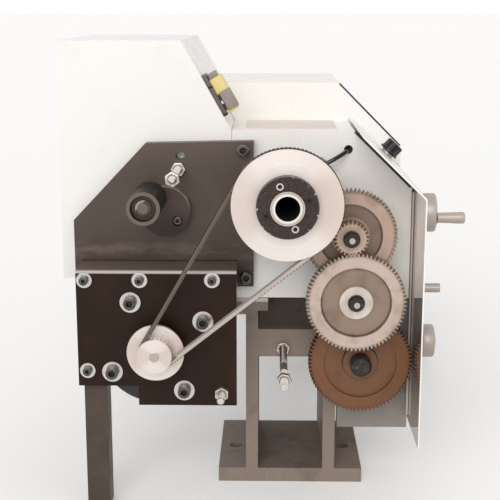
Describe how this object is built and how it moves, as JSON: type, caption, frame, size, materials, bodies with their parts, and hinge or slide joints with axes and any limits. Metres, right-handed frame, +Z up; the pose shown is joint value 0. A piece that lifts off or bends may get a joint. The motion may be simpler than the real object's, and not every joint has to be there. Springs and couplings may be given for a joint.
{
  "type": "bench lathe",
  "caption": "Bench metal lathe with its end cover off, showing the belt drive and change gears, with chuck, carriage, compound slide and tailstock on a cast bed.",
  "frame": {"origin": "centre of the four bench bolt holes, on the plane of the bench", "axes": "+X along the bed from headstock to tailstock, +Y from the operator to the rear, +Z up"},
  "size_m": [0.7838, 0.3745, 0.366],
  "materials": {
    "sheet_paint": "satin cream paint",
    "bed_paint": "grey machine paint with ground ways",
    "casting": "grey cast iron, machined faces",
    "plate_black": "black-brown satin plate, scratched",
    "motor_black": "black paint",
    "ground_steel": "ground steel",
    "turned_aluminium": "turned aluminium",
    "idler_steel": "turned steel",
    "black_oxide": "black oxide",
    "zinc": "bright zinc",
    "gear_light": "machined gear steel",
    "gear_dark": "oily dark gear steel",
    "belt_rubber": "grey toothed belt",
    "cable": "black cable and sensor",
    "wheel_metal": "satin turned wheel",
    "lever_steel": "bright plated lever",
    "black_plastic": "gloss black plastic",
    "red_plastic": "red plastic",
    "switch_plastic": "yellow and grey plastic"
  },
  "bodies": {
    "frame": {"bed": "bed_paint", "headstock_casting": "casting", "headstock_cover": "sheet_paint", "spindle_bearings": "ground_steel", "front_panel": "sheet_paint", "rear_box": "sheet_paint", "interlock_switch": "switch_plastic", "upper_plate": "plate_black", "motor_plate": "plate_black", "support_leg": "plate_black", "plate_cap_screws": "black_oxide", "plate_washers": "zinc", "studs_and_nuts": "zinc", "motor": "motor_black", "drive_belt": "belt_rubber", "gear_quadrant": "casting", "gear_axles": "ground_steel", "gear_axle_nuts": "black_oxide", "leadscrew_brackets": "casting", "sensor_lead": "cable"},
    "spindle_unit": {"spindle": "ground_steel", "spindle_pulley": "turned_aluminium", "hub_ring": "black_oxide", "hub_ring_screws": "black_oxide", "spindle_gear": "gear_light", "chuck_body": "ground_steel"},
    "scroll": {"chuck_scroll": "ground_steel"},
    "jaw_1": {"chuck_jaw_1": "ground_steel"},
    "jaw_2": {"chuck_jaw_2": "ground_steel"},
    "jaw_3": {"chuck_jaw_3": "ground_steel"},
    "motor_rotor": {"motor_shaft": "ground_steel", "motor_pulley": "turned_aluminium"},
    "stud_gears": {"stud_gear": "gear_light", "stud_pinion": "gear_light"},
    "cluster_gears": {"cluster_gear": "gear_light", "cluster_pinion": "gear_light"},
    "leadscrew_unit": {"leadscrew": "ground_steel", "leadscrew_gear": "gear_dark", "leadscrew_nut": "black_oxide"},
    "idler_arm": {"idler_disc": "idler_steel"},
    "idler": {"idler_roller": "idler_steel"},
    "carriage": {"saddle": "casting", "apron": "casting"},
    "apron_wheel": {"apron_handwheel": "wheel_metal"},
    "nut_lever": {"half_nut_lever": "lever_steel"},
    "nut": {"half_nut": "ground_steel"},
    "cross": {"cross_slide": "ground_steel"},
    "cross_wheel": {"cross_handwheel": "wheel_metal"},
    "compound": {"compound_base": "casting"},
    "top": {"top_slide": "ground_steel"},
    "top_wheel": {"top_handwheel": "wheel_metal"},
    "post": {"tool_post": "black_oxide"},
    "post_handle": {"tool_post_handle": "lever_steel"},
    "tailstock": {"tailstock_body": "casting"},
    "quill": {"tailstock_quill": "ground_steel"},
    "tail_wheel": {"tailstock_handwheel": "wheel_metal"},
    "lock_lever": {"quill_lock": "lever_steel"},
    "knob": {"speed_knob": "black_plastic"},
    "stop": {"stop_button": "red_plastic"},
    "direction": {"direction_switch": "black_plastic"}
  },
  "joints": [
    {"name": "spindle_turn", "type": "hinge", "parent": "frame", "child": "spindle_unit", "pos_m": [-0.323, 0.005, 0.25], "axis": [1, 0, 0], "continuous": true},
    {"name": "motor_turn", "type": "hinge", "parent": "frame", "child": "motor_rotor", "pos_m": [-0.323, 0.1041, 0.1348], "axis": [1, 0, 0], "continuous": true},
    {"name": "stud_gears_turn", "type": "hinge", "parent": "frame", "child": "stud_gears", "pos_m": [-0.358, -0.04403, 0.21996], "axis": [1, 0, 0], "continuous": true},
    {"name": "cluster_gears_turn", "type": "hinge", "parent": "frame", "child": "cluster_gears", "pos_m": [-0.358, -0.04856, 0.17016], "axis": [1, 0, 0], "continuous": true},
    {"name": "leadscrew_turn", "type": "hinge", "parent": "frame", "child": "leadscrew_unit", "pos_m": [-0.323, -0.05431, 0.11546], "axis": [1, 0, 0], "continuous": true},
    {"name": "scroll_turn", "type": "hinge", "parent": "spindle_unit", "child": "scroll", "pos_m": [-0.079, 0.005, 0.25], "axis": [1, 0, 0], "range_deg": [-135, 1080]},
    {"name": "jaw_1_slide", "type": "slide", "parent": "spindle_unit", "child": "jaw_1", "axis": [0, 0, 1], "range_m": [-0.0015, 0.012]},
    {"name": "jaw_2_slide", "type": "slide", "parent": "spindle_unit", "child": "jaw_2", "axis": [0, -0.866, -0.5], "range_m": [-0.0015, 0.012]},
    {"name": "jaw_3_slide", "type": "slide", "parent": "spindle_unit", "child": "jaw_3", "axis": [0, 0.866, -0.5], "range_m": [-0.0015, 0.012]},
    {"name": "idler_swing", "type": "hinge", "parent": "frame", "child": "idler_arm", "pos_m": [-0.338, 0.0894, 0.2287], "axis": [1, 0, 0], "range_deg": [-85, 20]},
    {"name": "idler_roll", "type": "hinge", "parent": "idler_arm", "child": "idler", "pos_m": [-0.368, 0.1104, 0.247], "axis": [1, 0, 0], "continuous": true},
    {"name": "apron_wheel_turn", "type": "hinge", "parent": "carriage", "child": "apron_wheel", "pos_m": [-0.025, -0.115, 0.036], "axis": [0, 1, 0], "range_deg": [-1058.82, 3600]},
    {"name": "carriage_slide", "type": "slide", "parent": "frame", "child": "carriage", "axis": [1, 0, 0], "range_m": [-0.05, 0.17]},
    {"name": "nut_lever_turn", "type": "hinge", "parent": "carriage", "child": "nut_lever", "pos_m": [0.012, -0.105, 0.093], "axis": [0, 1, 0], "range_deg": [0, 60]},
    {"name": "half_nut_slide", "type": "slide", "parent": "carriage", "child": "nut", "axis": [0, 0, 1], "range_m": [0, 0.0037]},
    {"name": "cross_wheel_turn", "type": "hinge", "parent": "carriage", "child": "cross_wheel", "pos_m": [-0.003, -0.115, 0.174], "axis": [0, 1, 0], "range_deg": [-4800, 14400]},
    {"name": "cross_slide", "type": "slide", "parent": "carriage", "child": "cross", "axis": [0, 1, 0], "range_m": [-0.02, 0.06]},
    {"name": "compound_swivel", "type": "hinge", "parent": "cross", "child": "compound", "pos_m": [-0.003, -0.075, 0.2], "axis": [0, 0, -1], "range_deg": [-60, 60]},
    {"name": "top_wheel_turn", "type": "hinge", "parent": "compound", "child": "top_wheel", "pos_m": [0.027, -0.075, 0.219], "axis": [1, 0, 0], "range_deg": [-10800, 2880]},
    {"name": "top_slide", "type": "slide", "parent": "compound", "child": "top", "axis": [1, 0, 0], "range_m": [-0.03, 0.008]},
    {"name": "post_index", "type": "hinge", "parent": "top", "child": "post", "pos_m": [-0.003, -0.075, 0.25], "axis": [0, 0, 1], "continuous": true},
    {"name": "post_handle_turn", "type": "hinge", "parent": "top", "child": "post_handle", "pos_m": [-0.003, -0.075, 0.27], "axis": [0, 0, 1], "range_deg": [-120, 120]},
    {"name": "tailstock_slide", "type": "slide", "parent": "frame", "child": "tailstock", "axis": [1, 0, 0], "range_m": [-0.17, 0.005]},
    {"name": "tail_wheel_turn", "type": "hinge", "parent": "tailstock", "child": "tail_wheel", "pos_m": [0.327, 0.005, 0.25], "axis": [1, 0, 0], "range_deg": [-9000, 0]},
    {"name": "quill_slide", "type": "slide", "parent": "tailstock", "child": "quill", "axis": [1, 0, 0], "range_m": [-0.05, 0]},
    {"name": "lock_lever_turn", "type": "hinge", "parent": "tailstock", "child": "lock_lever", "pos_m": [0.249, 0.005, 0.28], "axis": [0, 0, 1], "range_deg": [-60, 60]},
    {"name": "speed_knob_turn", "type": "hinge", "parent": "frame", "child": "knob", "pos_m": [-0.273, -0.07804, 0.2723], "axis": [0, -0.6977, 0.7164], "range_deg": [-135, 135]},
    {"name": "stop_press", "type": "slide", "parent": "frame", "child": "stop", "axis": [0, 1, 0], "range_m": [0, 0.005], "stiffness_N_per_m": 400},
    {"name": "direction_turn", "type": "hinge", "parent": "frame", "child": "direction", "pos_m": [-0.173, -0.094, 0.205], "axis": [0, -1, 0], "range_deg": [-45, 45]}
  ],
  "couplings": [
    {"joint": "motor_turn", "follows": "spindle_turn", "ratio": 3.5},
    {"joint": "stud_gears_turn", "follows": "spindle_turn", "ratio": -0.64286},
    {"joint": "cluster_gears_turn", "follows": "spindle_turn", "ratio": 0.21429},
    {"joint": "leadscrew_turn", "follows": "spindle_turn", "ratio": -0.080357},
    {"joint": "jaw_1_slide", "follows": "scroll_turn", "m_per_rad": 0.00063662},
    {"joint": "jaw_2_slide", "follows": "scroll_turn", "m_per_rad": 0.00063662},
    {"joint": "jaw_3_slide", "follows": "scroll_turn", "m_per_rad": 0.00063662},
    {"joint": "apron_wheel_turn", "follows": "carriage_slide", "rad_per_m": 369.56},
    {"joint": "nut_lever_turn", "follows": "half_nut_slide", "rad_per_m": 283},
    {"joint": "cross_wheel_turn", "follows": "cross_slide", "rad_per_m": 4188.4},
    {"joint": "top_wheel_turn", "follows": "top_slide", "rad_per_m": 6282.6},
    {"joint": "quill_slide", "follows": "tail_wheel_turn", "m_per_rad": 0.00031831}
  ]
}
